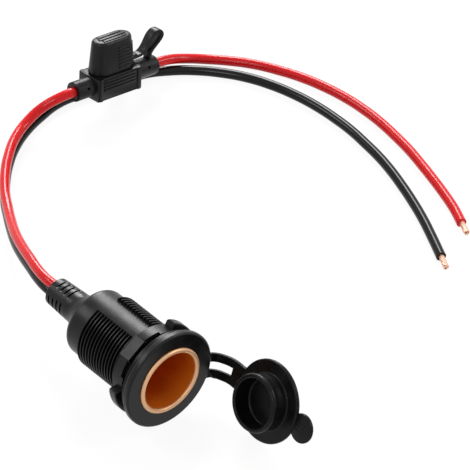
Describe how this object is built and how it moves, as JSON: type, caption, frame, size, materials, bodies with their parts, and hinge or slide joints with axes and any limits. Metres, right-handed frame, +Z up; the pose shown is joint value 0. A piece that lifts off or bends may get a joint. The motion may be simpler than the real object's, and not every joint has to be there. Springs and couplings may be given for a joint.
{
  "type": "panel mounted 12 V accessory socket",
  "caption": "Round panel mounted 12 volt socket with a tethered dust cap, a clamping ring nut, two leads and an inline blade fuse holder.",
  "frame": {"origin": "centre of the socket's mouth, in the plane of the flange's front face", "axes": "-Y out of the mouth, +Y back along the socket to its leads, +Z up, +X to the side that the dust cap is tethered on"},
  "size_m": [0.176, 0.2, 0.036],
  "materials": {
    "black_plastic": "satin",
    "black_rubber": "satin",
    "liner_copper": "polished",
    "contact_copper": "satin",
    "phenolic": "matte",
    "steel": "brushed",
    "tinned": "satin",
    "red_insulation": "gloss",
    "black_insulation": "gloss",
    "bare_copper": "satin",
    "fuse_tint": "gloss"
  },
  "bodies": {
    "socket": {"housing": "black_plastic", "liner": "liner_copper", "contact_insulator": "phenolic", "contact_stud": "contact_copper", "stud_nut": "steel", "positive_terminal": "tinned", "ground_terminal": "tinned", "red_lead_socket": "red_insulation", "red_lead_tail": "red_insulation", "black_lead": "black_insulation", "red_conductor": "bare_copper", "black_conductor": "bare_copper", "holder_body": "black_plastic", "holder_clip_left": "tinned", "holder_clip_right": "tinned", "cover_seal": "black_rubber", "fuse_body": "fuse_tint", "fuse_blades": "tinned", "cover_strap": "black_plastic"},
    "ring_nut": {"retaining_nut": "black_plastic"},
    "tether": {"tether_ring": "black_rubber", "tether_bands": "black_rubber"},
    "cap": {"dust_cap": "black_rubber"},
    "cover": {"fuse_cover": "black_plastic"}
  },
  "joints": [
    {"name": "nut_turn", "type": "hinge", "parent": "socket", "child": "ring_nut", "pos_m": [0, 0.0096, 0], "axis": [0, 1, 0], "continuous": true},
    {"name": "ring_swivel", "type": "hinge", "parent": "socket", "child": "tether", "pos_m": [0, 0.0037, 0], "axis": [0, 1, 0], "continuous": true},
    {"name": "cap_swing", "type": "hinge", "parent": "tether", "child": "cap", "pos_m": [0.02143, -0.0023, -0.0065], "axis": [-0.2977, -0.0895, -0.9504], "range_deg": [-60, 88.8], "deforming": ["tether_bands"]},
    {"name": "cover_pull", "type": "slide", "parent": "socket", "child": "cover", "axis": [0.1549, 0.1392, 0.9781], "range_m": [0, 0.018], "deforming": ["cover_strap"]}
  ]
}
